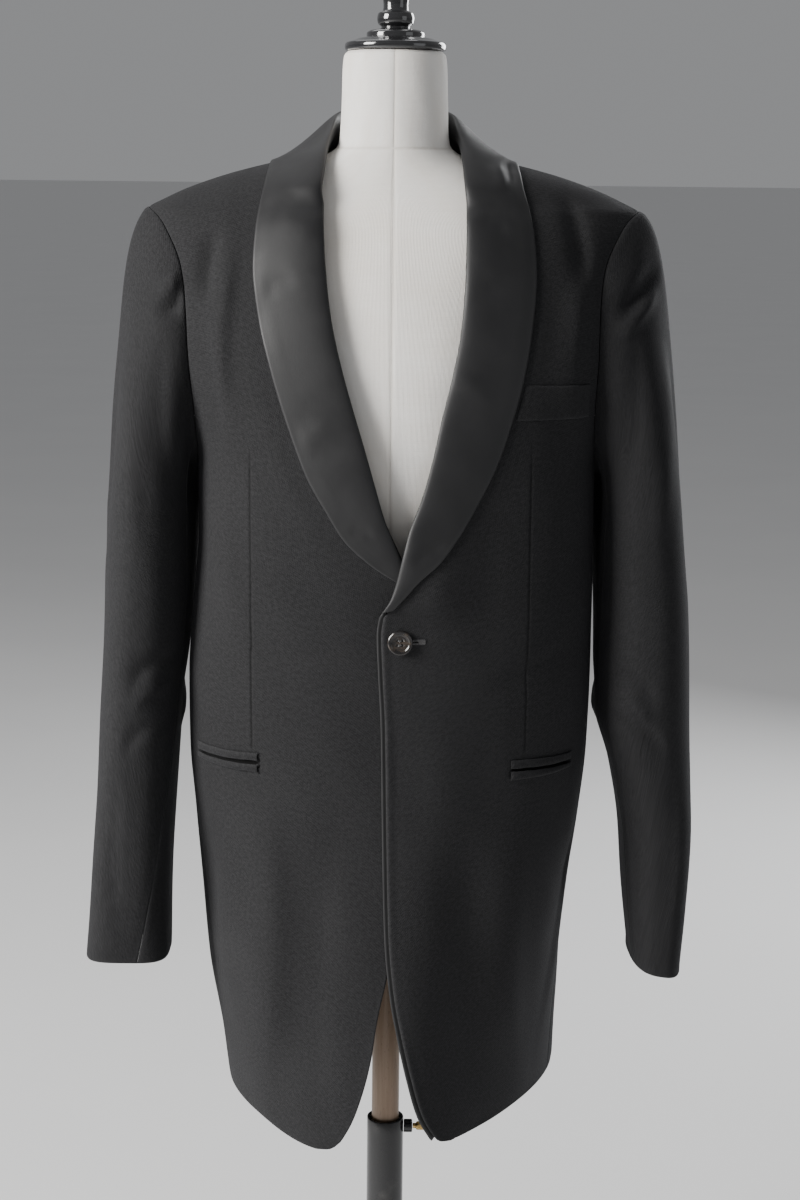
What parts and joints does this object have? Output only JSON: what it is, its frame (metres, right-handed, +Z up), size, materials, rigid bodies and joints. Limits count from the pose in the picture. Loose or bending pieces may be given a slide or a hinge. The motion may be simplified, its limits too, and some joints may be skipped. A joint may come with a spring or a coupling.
{
  "type": "tuxedo jacket on a dress form stand",
  "caption": "Tuxedo jacket with a satin shawl collar and a front button, worn open-hemmed on a limbless dress form that slides and turns on a round-based pole stand.",
  "frame": {"origin": "middle of the base's underside, on the floor", "axes": "+Z up along the pole, the jacket's front faces -Y, the wearer's left is +X"},
  "size_m": [0.5772, 0.37, 1.643],
  "materials": {
    "wool": "matt fine wool, close twill",
    "satin": "black satin with a soft sheen",
    "horn": "polished dark horn",
    "linen": "plain woven ivory linen",
    "lacquer": "black gloss lacquer on turned wood",
    "beech": "waxed beech",
    "steel": "black satin enamel",
    "brass": "brushed brass",
    "iron": "black painted cast iron"
  },
  "bodies": {
    "stand": {"base": "iron", "tube": "steel", "clamp_boss": "steel"},
    "clamp": {"clamp_screw": "brass"},
    "mast": {"pole": "beech"},
    "form": {"front_left": "wool", "front_right": "wool", "front_facing": "satin", "side_left": "wool", "side_right": "wool", "back_left": "wool", "back_right": "wool", "sleeve_top_left": "wool", "sleeve_top_right": "wool", "sleeve_under_left": "wool", "sleeve_under_right": "wool", "collar_left": "satin", "collar_right": "satin", "pocket_left_upper": "wool", "pocket_left_lower": "wool", "pocket_right_upper": "wool", "pocket_right_lower": "wool", "breast_welt": "wool", "button": "horn", "form_torso": "linen", "neck_cap": "lacquer"}
  },
  "joints": [
    {"name": "clamp_turn", "type": "hinge", "parent": "stand", "child": "clamp", "pos_m": [0.0273, 0, 0.5005], "axis": [1, 0, 0], "continuous": true},
    {"name": "mast_slide", "type": "slide", "parent": "stand", "child": "mast", "axis": [0, 0, 1], "range_m": [-0.1, 0.2]},
    {"name": "form_turn", "type": "hinge", "parent": "mast", "child": "form", "pos_m": [0, 0, 0.74], "axis": [0, 0, 1], "continuous": true}
  ]
}
